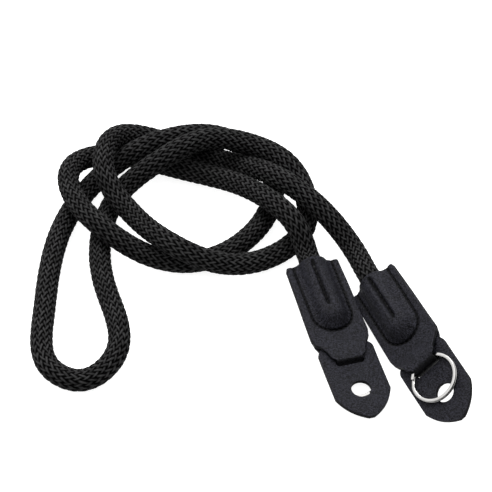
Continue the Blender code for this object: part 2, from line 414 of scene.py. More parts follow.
@dataclass(frozen=True)
class YarnFinish:
    """Matt black yarn, braided: each stitch is a bundle of plies, with painted shade in the gaps round it and
    a painted highlight on its crest.

    Attributes:
        colour: Colour of the yarn where it faces up.
        gap_shade: How dark the painted shade in the gaps beside a stitch is, as a share of that colour.
        hole_shade: How dark the painted shade in the deepest holes between stitches is, as a share of that
            colour.
        crest_shade: How bright the painted highlight on the crests of the stitches is, in the same way.
        uneven: How much brighter or darker one stitch may be than the next.
        plies: Plies that show side by side across one stitch.
        twist: How far the plies run across a stitch from its start to its end, as a share of its width.
        ply_depth: Depth between plies, in metres.
        lint_size: Size of the fine fibres, in metres.
        lint_depth: How far they stand up, in metres.
    """

    colour: Point = (0.0175, 0.0175, 0.0176)
    gap_shade: float = 0.03
    hole_shade: float = 0.02
    crest_shade: float = 1.25
    uneven: float = 0.25
    plies: float = 3.0
    twist: float = 0.55
    ply_depth: float = 0.00012
    lint_size: float = 0.00012
    lint_depth: float = 0.00006

    def material(self) -> Material:
        """Build the material. It reads the rope's own map: one unit for each stitch, both ways."""
        board = NodeBoard("braided_yarn")
        stitch = board.node("ShaderNodeUVMap", uv_map="stitch").outputs["UV"]
        parts = board.node("ShaderNodeSeparateXYZ")
        board.link(stitch, parts.inputs[0])
        along = board.math("FRACT", parts.outputs[0])
        across = board.math("FRACT", parts.outputs[1])
        from_middle = board.math("ABSOLUTE", board.math("SUBTRACT", across, 0.5))

        cell = board.node("ShaderNodeVectorMath", operation="FLOOR")
        board.link(stitch, cell.inputs[0])
        chance = board.node("ShaderNodeTexWhiteNoise", noise_dimensions="2D")
        board.link(cell.outputs[0], chance.inputs["Vector"])
        own_tone = board.ramp(chance.outputs["Value"], 0.0, 1.0, 1.0 - self.uneven, 1.0 + self.uneven)

        # Painted shade: darker towards the gaps beside each stitch and in the holes between stitches, with a
        # painted highlight on the crests.
        sides = board.ramp(from_middle, 0.12, 0.36, 1.0, self.gap_shade)
        holes = board.ramp(board.kept("height"), 0.20, 0.95, self.hole_shade, self.crest_shade)
        lint = board.noise(1.0 / self.lint_size, 2.0, 0.6)
        fibre = board.ramp(lint, 0.3, 0.7, 0.85, 1.15)
        shade = board.math("MULTIPLY", board.math("MULTIPLY", sides, holes), own_tone)
        shade = board.math("MULTIPLY", shade, fibre)

        twist = board.math("MULTIPLY_ADD", along, self.twist, across)
        ply = board.math("SINE", board.math("MULTIPLY", twist, self.plies * 2.0 * math.pi))
        board.bump(board.math("MULTIPLY_ADD", ply, 0.5, 0.5), 0.5, self.ply_depth)
        board.bump(lint, 0.35, self.lint_depth)
        return board.finished(self.colour, shade, Roughness=0.85, Specular_IOR_Level=0.02)


@dataclass(frozen=True)
class LeatherFinish:
    """Matt black leather with a fine pebble grain; gathered leather also gets painted shadow in its creases.

    Attributes:
        colour: Colour of the leather's face.
        grain_size: Size of a pebble of the grain, in metres.
        grain_depth: Depth between pebbles, in metres.
        clouds: How many broad soft patches of tone a metre has.
        wrinkles: Whether the leather is gathered by a seam, and so reads the seam's map.
        pleats: Pleats in 10 mm along the seam and in 10 mm away from it.
        pleat_depth: Depth of the pleats, in metres.
        crease_shade: How dark the painted shadow in the creases is, as a share of the colour.
    """

    colour: Point = (0.0076, 0.0076, 0.0102)
    grain_size: float = 0.00046
    grain_depth: float = 0.00024
    clouds: float = 260.0
    wrinkles: bool = False
    pleats: tuple[float, float] = (16.0, 2.2)
    pleat_depth: float = 0.0009
    crease_shade: float = 0.08

    def material(self) -> Material:
        """Build the material."""
        board = NodeBoard("gathered_leather" if self.wrinkles else "flat_leather")
        pebbles = board.node("ShaderNodeTexVoronoi", feature="SMOOTH_F1", Smoothness=0.35)
        pebbles.inputs["Scale"].default_value = 1.0 / self.grain_size
        board.link(board.place, pebbles.inputs["Vector"])
        pores = board.noise(0.8 / self.grain_size, 3.0, 0.65)
        clouds = board.noise(self.clouds, 2.0, 0.5)

        bed = board.math("MULTIPLY", pebbles.outputs["Distance"], -0.8)
        grain = board.math("MULTIPLY_ADD", pores, 0.9, bed)
        speck = board.ramp(pores, 0.36, 0.64, 0.20, 2.00)
        shade = board.math("MULTIPLY", board.ramp(clouds, 0.3, 0.7, 0.88, 1.12), speck)
        board.bump(grain, 1.0, self.grain_depth)
        if self.wrinkles:
            stretch = board.node("ShaderNodeMapping")
            stretch.inputs["Scale"].default_value = (*self.pleats, 1.0)
            board.link(board.node("ShaderNodeUVMap", uv_map="seam").outputs["UV"], stretch.inputs["Vector"])
            folds = board.noise(1.0, 2.0, 0.5, stretch.outputs["Vector"])
            board.bump(board.math("MULTIPLY", folds, board.kept("gather")), 1.0, self.pleat_depth)
            # Painted shadow: darker along the seam, in the groove and on the fold's turn, read from the
            # mesh's crease numbers.
            crease = board.ramp(board.kept("crease"), 0.0, 0.8, 1.0, self.crease_shade)
            shade = board.math("MULTIPLY", shade, crease)
        board.link(board.ramp(clouds, 0.3, 0.7, 0.50, 0.62), board.shader.inputs["Roughness"])
        return board.finished(self.colour, shade, Specular_IOR_Level=0.07)


@dataclass(frozen=True)
class CutEdgeFinish:
    """The dyed cut edge of the leather: darker, with fine fibres along it.

    Attributes:
        colour: Colour of the dye.
        fibre_size: Size of the fibres, in metres.
        fibre_depth: How far they stand up, in metres.
    """

    colour: Point = (0.0022, 0.0022, 0.0028)
    fibre_size: float = 0.00025
    fibre_depth: float = 0.0001

    def material(self) -> Material:
        """Build the material."""
        board = NodeBoard("cut_leather_edge")
        fibres = board.noise(1.0 / self.fibre_size, 4.0, 0.7)
        shade = board.ramp(fibres, 0.3, 0.7, 0.7, 1.3)
        board.bump(fibres, 0.5, self.fibre_depth)
        return board.finished(self.colour, shade, Roughness=0.65, Specular_IOR_Level=0.05)


@dataclass(frozen=True)
class ThreadFinish:
    """Black waxed sewing thread, twisted from plies.

    Attributes:
        colour: Colour of the thread.
        twist_size: Distance between the plies along the thread, in metres.
        twist_depth: Depth between the plies, in metres.
    """

    colour: Point = (0.0025, 0.0025, 0.003)
    twist_size: float = 0.0003
    twist_depth: float = 0.0001

    def material(self) -> Material:
        """Build the material."""
        board = NodeBoard("sewing_thread")
        twist = board.noise(1.0 / self.twist_size, 2.0, 0.6)
        shade = board.ramp(twist, 0.3, 0.7, 0.6, 1.5)
        board.bump(twist, 0.6, self.twist_depth)
        return board.finished(self.colour, shade, Roughness=0.7, Specular_IOR_Level=0.08)


@dataclass(frozen=True)
class NickelFinish:
    """Bright nickel plate with faint marks of polishing.

    Attributes:
        colour: Colour of the metal.
        gloss: Roughness of the cleanest places.
        worn: Roughness of the dullest places.
        smears: How many smears a metre has.
        scratches: How many fine scratches a metre has.
        scratch_depth: Depth of the scratches, in metres.
    """

    colour: Point = (0.31, 0.305, 0.30)
    gloss: float = 0.06
    worn: float = 0.16
    smears: float = 900.0
    scratches: float = 5000.0
    scratch_depth: float = 0.00002

    def material(self) -> Material:
        """Build the material."""
        board = NodeBoard("nickel_plate")
        smears = board.noise(self.smears, 3.0, 0.6)
        board.link(board.ramp(smears, 0.35, 0.7, self.gloss, self.worn), board.shader.inputs["Roughness"])
        shade = board.ramp(smears, 0.3, 0.7, 1.0, 0.93)
        board.bump(board.noise(self.scratches, 1.0, 0.5), 0.08, self.scratch_depth)
        return board.finished(self.colour, shade, Metallic=1.0)


@dataclass(frozen=True)
class FloorFinish:
    """Matt white studio sheet, lit through from below.

    Attributes:
        colour: Colour of the sheet.
        glow: Brightness of the light that comes through it.
        tooth: How many specks of its tooth a metre has.
    """

    colour: Point = (0.40, 0.40, 0.40)
    glow: float = 0.90
    tooth: float = 900.0

    def material(self) -> Material:
        """Build the material."""
        board = NodeBoard("studio_sheet")
        shade = board.ramp(board.noise(self.tooth, 2.0, 0.5), 0.3, 0.7, 0.995, 1.0)
        return board.finished(
            self.colour, shade, Roughness=0.9, Specular_IOR_Level=0.1,
            Emission_Color=WHITE, Emission_Strength=self.glow,
        )


# --- Studio ---


@dataclass
class Studio:
    """The camera, the floor and the lights.

    Attributes:
        target: The point that the camera looks at.
        elevation: The camera's height above the horizon, in degrees.
        distance: From the target to the camera.
        lens: Focal length in millimetres on a 36 mm sensor.
        floor_size: Side of the floor.
        sky_middle: Where the brightest part of the room's white ceiling is.
        sky: Brightness there.
        wall: Brightness of the room at the horizon.
        softbox_place: Where the softbox hangs.
        softbox_target: The point that it faces.
        softbox_side: Its width and height.
        softbox_power: Its power in watts.
    """

    target: Point = (-0.0458, 0.0486, 0.0)
    elevation: float = 50.0
    distance: float = 0.900
    lens: float = 180.4
    floor_size: float = 6.0
    sky_middle: Point = (-0.15, 0.45, 0.88)
    sky: float = 3.2
    wall: float = 0.10
    softbox_place: Point = (-0.45, 0.65, 1.1)
    softbox_target: Point = (-0.045, 0.03, 0.0)
    softbox_side: float = 0.5
    softbox_power: float = 9.5

    def place_camera(self) -> None:
        """Put the camera where the photograph was taken from."""
        data = bpy.data.cameras.new("photo_camera")
        data.lens = self.lens
        data.sensor_width = 36.0
        data.clip_start = 0.02
        data.clip_end = 20.0
        camera = add_object("photo_camera", data)
        lift = math.radians(self.elevation)
        camera.location = Vector(self.target) + self.distance * Vector((0.0, -math.cos(lift), math.sin(lift)))
        camera.rotation_euler = Euler((math.pi / 2 - lift, 0.0, 0.0))
        bpy.context.scene.camera = camera

    def lay_floor(self, finish: FloorFinish) -> None:
        """Lay the white floor that the strap rests on.

        Args:
            finish: The floor's finish.
        """
        clear_selection()
        bpy.ops.mesh.primitive_plane_add(size=self.floor_size, location=(0.0, 0.0, 0.0))
        floor = bpy.context.active_object
        floor.name = "floor"
        floor.data.materials.append(finish.material())
        clear_selection()

    def hang_softbox(self) -> None:
        """Hang the soft light that points at the strap."""
        data = bpy.data.lights.new("key_light", "AREA")
        data.shape = "RECTANGLE"
        data.size = data.size_y = self.softbox_side
        data.energy = self.softbox_power
        light = add_object("key_light", data)
        light.location = self.softbox_place
        facing = Vector(self.softbox_target) - Vector(self.softbox_place)
        light.rotation_euler = facing.to_track_quat("-Z", "Y").to_euler()

    def light_room(self) -> None:
        """Light the strap softly from above and behind, in a bright room."""
        world = bpy.data.worlds.new("studio")
        world.use_nodes = True
        tree = world.node_tree
        background = tree.nodes["Background"]
        direction = tree.nodes.new("ShaderNodeTexCoord")
        facing = tree.nodes.new("ShaderNodeVectorMath")
        facing.operation = "DOT_PRODUCT"
        facing.inputs[1].default_value = Vector(self.sky_middle).normalized()
        spread = tree.nodes.new("ShaderNodeMapRange")
        spread.interpolation_type = "SMOOTHSTEP"
        spread.inputs["To Min"].default_value = self.wall
        spread.inputs["To Max"].default_value = self.sky
        tree.links.new(direction.outputs["Generated"], facing.inputs[0])
        tree.links.new(facing.outputs["Value"], spread.inputs["Value"])
        tree.links.new(spread.outputs["Result"], background.inputs["Strength"])
        background.inputs["Color"].default_value = WHITE
        bpy.context.scene.world = world
        self.hang_softbox()
        bpy.context.scene.view_settings.view_transform = "Standard"
        bpy.context.scene.view_settings.look = "None"


# --- Where the leather ends lie ---


@dataclass(frozen=True)
class EndPlace:
    """Where one leather end lies.

    Attributes:
        side: Its name in the model.
        mouth: The mouth of its rope pocket.
        heading: Its turn about the vertical, in degrees.
        pitch: Its turn about its own width, in degrees.
        roll: Its turn about its own length, in degrees.
    """

    side: str
    mouth: Point
    heading: float
    pitch: float
    roll: float

    def matrix(self) -> Matrix:
        """The end's own frame in the strap's frame."""
        turn = Euler([math.radians(a) for a in (self.pitch, self.roll, self.heading)], "YXZ")
        return Matrix.Translation(self.mouth) @ turn.to_matrix().to_4x4()

    def in_pocket(self, depth: float) -> Vector:
        """A point on the pocket's axis.

        Args:
            depth: How deep behind the mouth, in metres.

        Returns:
            The point in the strap's frame.
        """
        return self.matrix() @ Vector((0.0, depth, 0.0))


LEFT = EndPlace("left", (-0.0223, 0.0339, 0.0069), 196.8, -2.9, 176.3)
RIGHT = EndPlace("right", (-0.0005, 0.0262, 0.0068), 204.0, 3.2, 37.6)


# --- Rope ---


@dataclass
class BraidedRope:
    """The round rope, braided over two, under two, in columns of slanting stitches.

    Attributes:
        route: Places that its centre line passes between the two ends, in metres.
        diameter: Across the rope.
        in_pocket: How far each end goes into its leather pocket.
        straight: How far it runs straight out of each pocket.
        curve_steps: Points of the centre line from one place of the route to the next.
        columns: Columns of stitches round the rope, slanting left and right in turn.
        stitch: Length of the braid taken by each stitch of a column.
        along: Cells of the mesh along a stitch.
        across: Cells of the mesh across a stitch.
        fullness: How full a stitch is at each point across it, from its gap over its crest.
        uneven: How much the fullness of one stitch differs from that of the next.
        crest: How far the crests stand out over the rope's radius.
        gap_radius: Radius at the gaps between stitches.
        start_radii: Radii along the border at which the stitches of two columns start.
        tip_radius: Radius where the stitches of two columns meet at their ends.
        tip_wave: How much smaller it is at every other ring.
        plain_radius: Radius of the plain stretch at each end of the rope.
        plain_rings: Rings of that stretch.
        overlap: How far the stitches of one column reach into the next, as a share of a column.
        slant: How far a stitch climbs along the rope while it crosses its column, in stitches.
        drift: Turn of the columns round the rope for each stitch, in degrees.
        path_points: Points of the path that stands for the rope's line.
    """

    route: tuple[Point, ...] = (
        (-0.027, 0.045, 0.0135), (-0.038, 0.0585, 0.015), (-0.051, 0.0715, 0.0095), (-0.073, 0.082, 0.006),
        (-0.098, 0.088, 0.006),
        (-0.110, 0.078, 0.0105), (-0.108, 0.060, 0.013), (-0.096, 0.045, 0.013), (-0.082, 0.039, 0.007),
        (-0.065, 0.037, 0.005),
        (-0.0365, 0.065, 0.0045), (-0.0385, 0.0845, 0.005), (-0.054, 0.0935, 0.0095),
        (-0.071, 0.0895, 0.0145), (-0.086, 0.084, 0.013), (-0.102, 0.075, 0.005), (-0.111, 0.059, 0.0045),
        (-0.1175, 0.010, 0.0055), (-0.1135, -0.011, 0.0045), (-0.103, -0.0155, 0.004),
        (-0.092, -0.007, 0.0055), (-0.095, 0.021, 0.006), (-0.0985, 0.049, 0.0045),
        (-0.092, 0.069, 0.0065), (-0.077, 0.077, 0.0155), (-0.061, 0.0845, 0.0185), (-0.044, 0.0848, 0.0155),
        (-0.0295, 0.076, 0.013), (-0.024, 0.055, 0.005), (-0.035, 0.0405, 0.005), (-0.056, 0.0325, 0.010),
        (-0.073, 0.0375, 0.015),
        (-0.088, 0.055, 0.012), (-0.097, 0.068, 0.0165), (-0.094, 0.0885, 0.0155), (-0.076, 0.093, 0.0075),
        (-0.054, 0.086, 0.005), (-0.035, 0.0685, 0.016), (-0.017, 0.053, 0.013), (-0.006, 0.041, 0.005),
    )
    diameter: float = 0.008
    in_pocket: float = 0.022
    straight: float = 0.003
    curve_steps: int = 60
    columns: int = 20
    stitch: float = 0.00287
    along: int = 3
    across: int = 4
    fullness: tuple[float, ...] = (0.0, 0.88, 1.0, 0.88)
    uneven: float = 0.10
    crest: float = 0.00004
    gap_radius: float = 0.00330
    start_radii: tuple[float, ...] = (0.00300, 0.00325, 0.00360, 0.00325)
    tip_radius: float = 0.00365
    tip_wave: float = 0.00010
    plain_radius: float = 0.0039
    plain_rings: int = 8
    overlap: float = 0.25
    slant: float = 0.72
    drift: float = 1.0
    path_points: int = 600

    def centre_line(self) -> np.ndarray:
        """Read the smooth curve through the route, closely.

        Returns:
            Points on the rope's centre line, one row of x, y, z each.
        """
        depths = (self.in_pocket, self.in_pocket / 2, 0.0, -self.straight)
        start = [LEFT.in_pocket(depth) for depth in depths]
        end = [RIGHT.in_pocket(depth) for depth in reversed(depths)]
        knots = np.array([*start, *self.route, *end], dtype=float)
        gaps = np.linalg.norm(np.diff(knots, axis=0), axis=1)
        count = len(knots)
        system = np.zeros((count, count))
        right = np.zeros((count, 3))
        system[0, 0] = system[-1, -1] = 1.0
        for i in range(1, count - 1):
            system[i, i - 1 : i + 2] = gaps[i - 1], 2.0 * (gaps[i - 1] + gaps[i]), gaps[i]
            right[i] = 6.0 * ((knots[i + 1] - knots[i]) / gaps[i] - (knots[i] - knots[i - 1]) / gaps[i - 1])
        bend = np.linalg.solve(system, right)
        places = []
        for i, gap in enumerate(gaps):
            t = np.linspace(0.0, 1.0, self.curve_steps, endpoint=i == count - 2)[:, None]
            s = 1.0 - t
            curve = gap * gap / 6.0 * ((s**3 - s) * bend[i] + (t**3 - t) * bend[i + 1])
            places.append(s * knots[i] + t * knots[i + 1] + curve)
        return np.concatenate(places)

    def carry_sides(self, line: np.ndarray) -> tuple[np.ndarray, np.ndarray]:
        """Carry two directions across the rope along its line without twisting them.

        Args:
            line: Points on the centre line.

        Returns:
            The two unit directions across the rope, at each point.
        """
        tangents = np.gradient(line, axis=0)
        tangents /= np.linalg.norm(tangents, axis=1)[:, None]
        side = np.cross(tangents[0], (0.0, 0.0, 1.0))
        sides = np.zeros_like(line)
        for i, tangent in enumerate(tangents):
            side = side - tangent * (side @ tangent)
            side = side / np.linalg.norm(side)
            sides[i] = side
        return sides, np.cross(tangents, sides)

    def braid(self, line: np.ndarray) -> tuple[np.ndarray, np.ndarray]:
        """Lay the rings of the mesh's points round the line.

        The rings follow the stitches: each one zigzags up one column and down the next, so that the gaps
        between stitches lie on the mesh's edges.

        Args:
            line: Points on the centre line.

        Returns:
            The points, by their ring and their spot round it, and how far each is from the line.
        """
        reached = distances(line)
        rings = int(round(reached[-1] / (self.stitch / self.across)))
        ring = np.arange(rings + 1)[:, None]
        spot = np.arange(self.columns * self.along)[None, :]
        column, odd = spot // self.along, spot // self.along % 2
        share = (spot % self.along) / self.along

        calm = part_of(np.minimum(ring, rings - ring), 0.0, self.plain_rings)
        rise = np.where(odd, 1.0 - share, share)
        distance = ring * (reached[-1] / rings) + self.slant * self.stitch * (rise - 0.5) * calm
        sway = np.array([-1.0, 0.0, 1.0, 0.0])[ring % self.across] * np.where(odd, 1.0, -1.0)
        place_across = column + share + self.overlap * sway * ((1.0 - share) ** 2 - share**2)
        turn = 2.0 * math.pi * place_across / self.columns + np.radians(self.drift) * distance / self.stitch

        step = ring - 2 * odd
        luck = np.random.default_rng(7).random((rings + 2 * self.across, self.columns))
        own = 1.0 + self.uneven * (luck - 0.5)[step // self.across + 1, column]
        height = self.diameter / 2 + self.crest - self.gap_radius
        radius = self.gap_radius + height * np.array(self.fullness)[step % self.across] * own
        start = np.array(self.start_radii)[ring % self.across]
        border = np.where(odd, self.tip_radius - self.tip_wave * (ring % 2), start)
        radius = np.where(share == 0.0, border, radius)
        radius = np.where(calm < 1.0, self.plain_radius, radius)

        sides, ups = (read_along(distance, reached, way) for way in self.carry_sides(line))
        outwards = np.cos(turn)[..., None] * sides + np.sin(turn)[..., None] * ups
        return read_along(distance, reached, line) + radius[..., None] * outwards, radius

    def stitch_map(self, rings: int) -> np.ndarray:
        """Map the faces of the braid: one unit for each stitch, across its column and along it.

        Args:
            rings: How many rings of faces the rope has.

        Returns:
            One row of u, v for each corner of each face, with the rope's two flat ends last.
        """
        spot = np.arange(self.columns * self.along)[None, :]
        u = np.broadcast_to(spot / self.along, (rings, spot.size))
        v = (np.arange(rings)[:, None] - 2 * (spot // self.along % 2)) / self.across + 2.0
        next_u, next_v = u + 1 / self.along, v + 1 / self.across
        corners = [np.stack(values, axis=-1) for values in ((u, next_u, next_u, u), (v, v, next_v, next_v))]
        return np.concatenate([np.stack(corners, axis=-1).reshape(-1, 2), np.full((2 * spot.size, 2), 0.5)])

    def build(self, finish: YarnFinish) -> None:
        """Braid the rope's surface along its line, stitch by stitch.

        Args:
            finish: The yarn's finish.
        """
        line = self.centre_line()
        reached = distances(line)
        length = float(reached[-1])
        places, radius = self.braid(line)
        rings, around = len(places) - 1, places.shape[1]
        spot = np.arange(around)
        row = np.arange(rings)[:, None] * around
        first, following = row + spot, row + (spot + 1) % around
        quads = np.stack([first, following, following + around, first + around], axis=-1).reshape(-1, 4)
        ends = [spot[::-1].tolist(), (rings * around + spot).tolist()]
        mesh = bpy.data.meshes.new("braided_rope")
        mesh.from_pydata(places.reshape(-1, 3).tolist(), [], quads.tolist() + ends)
        keep_map(mesh, "stitch", self.stitch_map(rings))
        # The height numbers drive the yarn's painted shade in the hollows and painted highlight on the
        # crests.
        keep_numbers(mesh, "height", part_of(radius, min(self.start_radii), self.diameter / 2 + self.crest))
        mesh.validate()
        mesh.update()

        rope = add_object("braided_rope", mesh)
        mesh.materials.append(finish.material())
        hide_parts("rope")
        finish_piece(rope, Slot.ROPE, smooth_angle=180.0)
        path = read_along(np.linspace(0.0, length, self.path_points), reached, line)
        tuple(LEFT.in_pocket(0.0))
        log.info("rope: %.3f m long, %d rings of %d", length, rings + 1, around)


# --- Leather ends ---


@dataclass(frozen=True)
class PocketSeam:
    """The U of stitches round the rope's pocket, from one corner of the mouth to the other.

    Attributes:
        half_width: From the pocket's axis to the seam's straight legs.
        turn: Where the legs end and the half circle starts.
    """

    half_width: float = 0.0073
    turn: float = 0.0232

    def length(self) -> float:
        """The whole length of the seam."""
        return 2.0 * self.turn + math.pi * self.half_width

    def at(self, distance: float) -> tuple[Vector, Vector]:
        """Find a point of the seam.

        Args:
            distance: From its start, along the seam.

        Returns:
            The point and the direction of the seam there, flat.
        """
        bow = math.pi * self.half_width
        if distance < self.turn:
            return Vector((-self.half_width, distance, 0.0)), Vector((0.0, 1.0, 0.0))
        if distance > self.turn + bow:
            return Vector((self.half_width, self.length() - distance, 0.0)), Vector((0.0, -1.0, 0.0))
        angle = math.pi - (distance - self.turn) / self.half_width
        radial = Vector((math.cos(angle), math.sin(angle), 0.0))
        return Vector((0.0, self.turn, 0.0)) + radial * self.half_width, Vector((radial.y, -radial.x, 0.0))

    def nearest(self, x: np.ndarray, y: np.ndarray) -> tuple[np.ndarray, np.ndarray]:
        """Find where points lie against the seam.

        Args:
            x: Their places across the pocket.
            y: Their places along the pocket.

        Returns:
            The distance along the seam, and the distance inside it.
        """
        angle = np.arctan2(y - self.turn, x)
        bow = self.turn + (math.pi - angle) * self.half_width
        leg = np.where(x < 0.0, y, self.length() - y)
        on_leg = y <= self.turn
        along = np.where(on_leg, leg, bow)
        inside = self.half_width - np.where(on_leg, np.abs(x), np.hypot(x, y - self.turn))
        return along, inside


@dataclass
class LeatherTab:
    """The folded leather strip that holds the rope, sewn round it with a U seam.

    Attributes:
        leather: Thickness of the leather.
        mouth_half_width: Half its width at the mouth.
        corner: Radius of its corners there.
        edge_rounding: How much wider it is cut, because smoothing takes that off its edges.
        sides: Its half width at some distances from the mouth.
        fold: The outside of the fold at its narrow end, in the side view: y and z.
        flat_end: Where the flat flanges end and the fold starts to rise.
        sewn_end: Where the leather that the seam pulls in ends.
        bulge_radius: Outside radius of the pocket over the rope.
        bulge_base: Height of the pocket's foot at the seam.
        end_fall: How steeply the pocket falls off towards its closed end.
        lean: How far the flanges' edges lean up and down.
        lean_wave: Radians of that wave for each metre along the tab, and those it starts with.
        seam: The U seam.
        seam_depth: How deep the seam pulls the leather in.
        seam_reach: How far from the seam most of that pull reaches.
        seam_beat: How much deeper it is at a stitch, as a share.
        pucker: Depth of the puckers beside the seam.
        pucker_inside: Distance of their middle from the seam.
        pucker_reach: How far from there they reach.
        stitch: From one stitch to the next.
        thread_radius: Half the thickness of the thread.
        look_ahead: How far ahead of a stitch's middle the slope under it is read.
        steepest: The rise over that distance from which on a stitch lies flat.
        sink: How deep the stitches of the seam lie in the leather.
        groove_sink: How deep the stitches of the groove lie in it.
        groove_x: Where the stitched groove along the pocket lies.
        groove_start: Where the groove starts.
        groove_end: Where the groove ends.
        groove_fades: Over what length the groove deepens at its start and ends.
        groove_depth: Depth of the groove.
        groove_beat: How much deeper it is at a stitch, as a share.
        groove_half_width: Half its width at half its depth, about.
        crease_reach: How far from the seam its painted crease shadow reaches.
        crease_margin: How far past its ends the groove's painted shadow goes on, and over what length the
            fold's painted shadow comes in.
        fold_shadow: How strong the painted shadow on the fold is, against that in a crease.
        gather_y: Between which distances from the mouth the gathers grow to their full depth.
        gather_mouth: Their depth at the mouth, as a share.
        gather_rise: How far inside the seam they reach their full depth.
        gather_fade: Between which distances inside the seam they fade out.
        columns: Columns of the mesh across the strip.
        cell: Size of the mesh along it, before its last smoothing.
    """

    leather: float = 0.0012
    mouth_half_width: float = 0.0097
    corner: float = 0.0006
    edge_rounding: float = 0.00012
    sides: tuple[tuple[float, float], ...] = (
        (0.0080, 0.0099), (0.0325, 0.0104), (0.0350, 0.0098), (0.0370, 0.0084), (0.0400, 0.0068),
        (0.0424, 0.0061), (0.0434, 0.0046), (0.0470, 0.0046),
    )
    fold: tuple[tuple[float, float], ...] = (
        (0.0344, 0.0012), (0.0379, 0.0026), (0.0396, 0.0039), (0.0406, 0.00435), (0.0431, 0.00435),
        (0.0444, 0.0038), (0.0451, 0.0026), (0.0451, 0.0009), (0.0444, -0.0014), (0.0440, -0.0020),
        (0.0433, -0.0023), (0.0366, -0.0023), (0.0348, -0.0012),
    )
    flat_end: float = 0.0340
    sewn_end: float = 0.0335
    bulge_radius: float = 0.0055
    bulge_base: float = 0.0011
    end_fall: float = 1.15
    lean: float = 0.00012
    lean_wave: tuple[float, float] = (260.0, 1.3)
    seam: PocketSeam = field(default_factory=PocketSeam)
    seam_depth: float = 0.00040
    seam_reach: float = 0.00042
    seam_beat: float = 0.22
    pucker: float = 0.00009
    pucker_inside: float = 0.0010
    pucker_reach: float = 0.0006
    stitch: float = 0.0019
    thread_radius: float = 0.00024
    look_ahead: float = 0.0008
    steepest: float = 0.0006
    sink: float = 0.00002
    groove_sink: float = 0.00005
    groove_x: float = -0.0007
    groove_start: float = 0.0020
    groove_end: float = 0.0212
    groove_fades: tuple[float, float] = (0.0028, 0.0024)
    groove_depth: float = 0.0015
    groove_beat: float = 0.10
    groove_half_width: float = 0.0008
    crease_reach: float = 0.0005
    crease_margin: float = 0.0008
    fold_shadow: float = 0.62
    gather_y: tuple[float, float] = (0.014, 0.026)
    gather_mouth: float = 0.25
    gather_rise: float = 0.0006
    gather_fade: tuple[float, float] = (0.0035, 0.0065)
    columns: int = 44
    cell: float = 0.00048

    def half_width(self, y: np.ndarray) -> np.ndarray:
        """Half the strip's width at places along it."""
        corner_y = np.linspace(0.0, self.corner, 6)
        rounded = np.sqrt(np.maximum(self.corner**2 - (self.corner - corner_y) ** 2, 0.0))
        knots_y = [*corner_y, *(place for place, _ in self.sides)]
        knots_x = [*(self.mouth_half_width - self.corner + rounded), *(half for _, half in self.sides)]
        return np.interp(y, knots_y, knots_x)

    def side_path(self) -> np.ndarray:
        """Read the strip's outer face in the side view, from the mouth round the fold and back.

        Returns:
            Evenly spaced points y, z.
        """
        bends = np.array([(self.flat_end, self.leather), *self.fold, (self.flat_end, -self.leather)])
        for _ in range(3):
            cut = np.empty((2 * len(bends) - 2, 2))
            cut[0::2] = 0.75 * bends[:-1] + 0.25 * bends[1:]
            cut[1::2] = 0.25 * bends[:-1] + 0.75 * bends[1:]
            bends = np.concatenate([bends[:1], cut, bends[-1:]])
        path = np.concatenate([[(0.0, self.leather)], bends, [(0.0, -self.leather)]])
        reached = distances(path)
        count = int(round(reached[-1] / self.cell))
        return read_along(np.linspace(0.0, reached[-1], count + 1), reached, path)

    def skin(self, x: np.ndarray, y: np.ndarray) -> np.ndarray:
        """Height of the outer face over the rope's pocket.

        Args:
            x: Places across the pocket.
            y: Places along it.

        Returns:
            Height of the face, at least the leather's thickness.
        """
        half = self.seam.half_width
        t = np.clip((y - self.seam.turn) / half, 0.0, 0.9999)
        narrowing = np.sqrt(1.0 - t * t)
        across = np.abs(x) / narrowing
        rise = self.bulge_radius - self.bulge_base
        fillet = (half**2 + self.bulge_base**2 - self.bulge_radius**2) / (2 * rise)
        reach = self.bulge_radius / (self.bulge_radius + fillet) * half
        arch = np.sqrt(np.maximum(self.bulge_radius**2 - across**2, 0.0))
        foot = self.bulge_base + fillet - np.sqrt(np.maximum(fillet**2 - (half - across) ** 2, 0.0))
        height = np.where(across <= reach, arch, foot)
        height = np.where(across >= half, self.bulge_base, height)
        share = (1.0 - t * t) ** self.end_fall
        return np.maximum(self.bulge_base + (height - self.bulge_base) * share, self.leather)

    def sewing_pull(self, x: np.ndarray, y: np.ndarray) -> np.ndarray:
        """How far the stitching pulls the leather in.

        Args:
            x: Places across the pocket.
            y: Places along it.

        Returns:
            The pull towards the middle of the strip, in metres.
        """
        along, inside = self.seam.nearest(x, y)
        beat = np.cos(2.0 * math.pi * along / self.stitch)
        pull = self.seam_depth * (1.0 + self.seam_beat * beat) * bell(inside, 0.0, self.seam_reach)
        pull += self.pucker * beat * bell(inside, self.pucker_inside, self.pucker_reach)
        fade_in, fade_out = self.groove_fades
        start = part_of(y, self.groove_start - fade_in / 2, self.groove_start + fade_in / 2)
        end = part_of(y, self.groove_end + fade_out / 2, self.groove_end - fade_out / 2)
        ripple = 1.0 + self.groove_beat * np.cos(2.0 * math.pi * y / self.stitch)
        across = bell(x, self.groove_x, self.groove_half_width)
        return pull + self.groove_depth * ease(start) * ease(end) * ripple * across

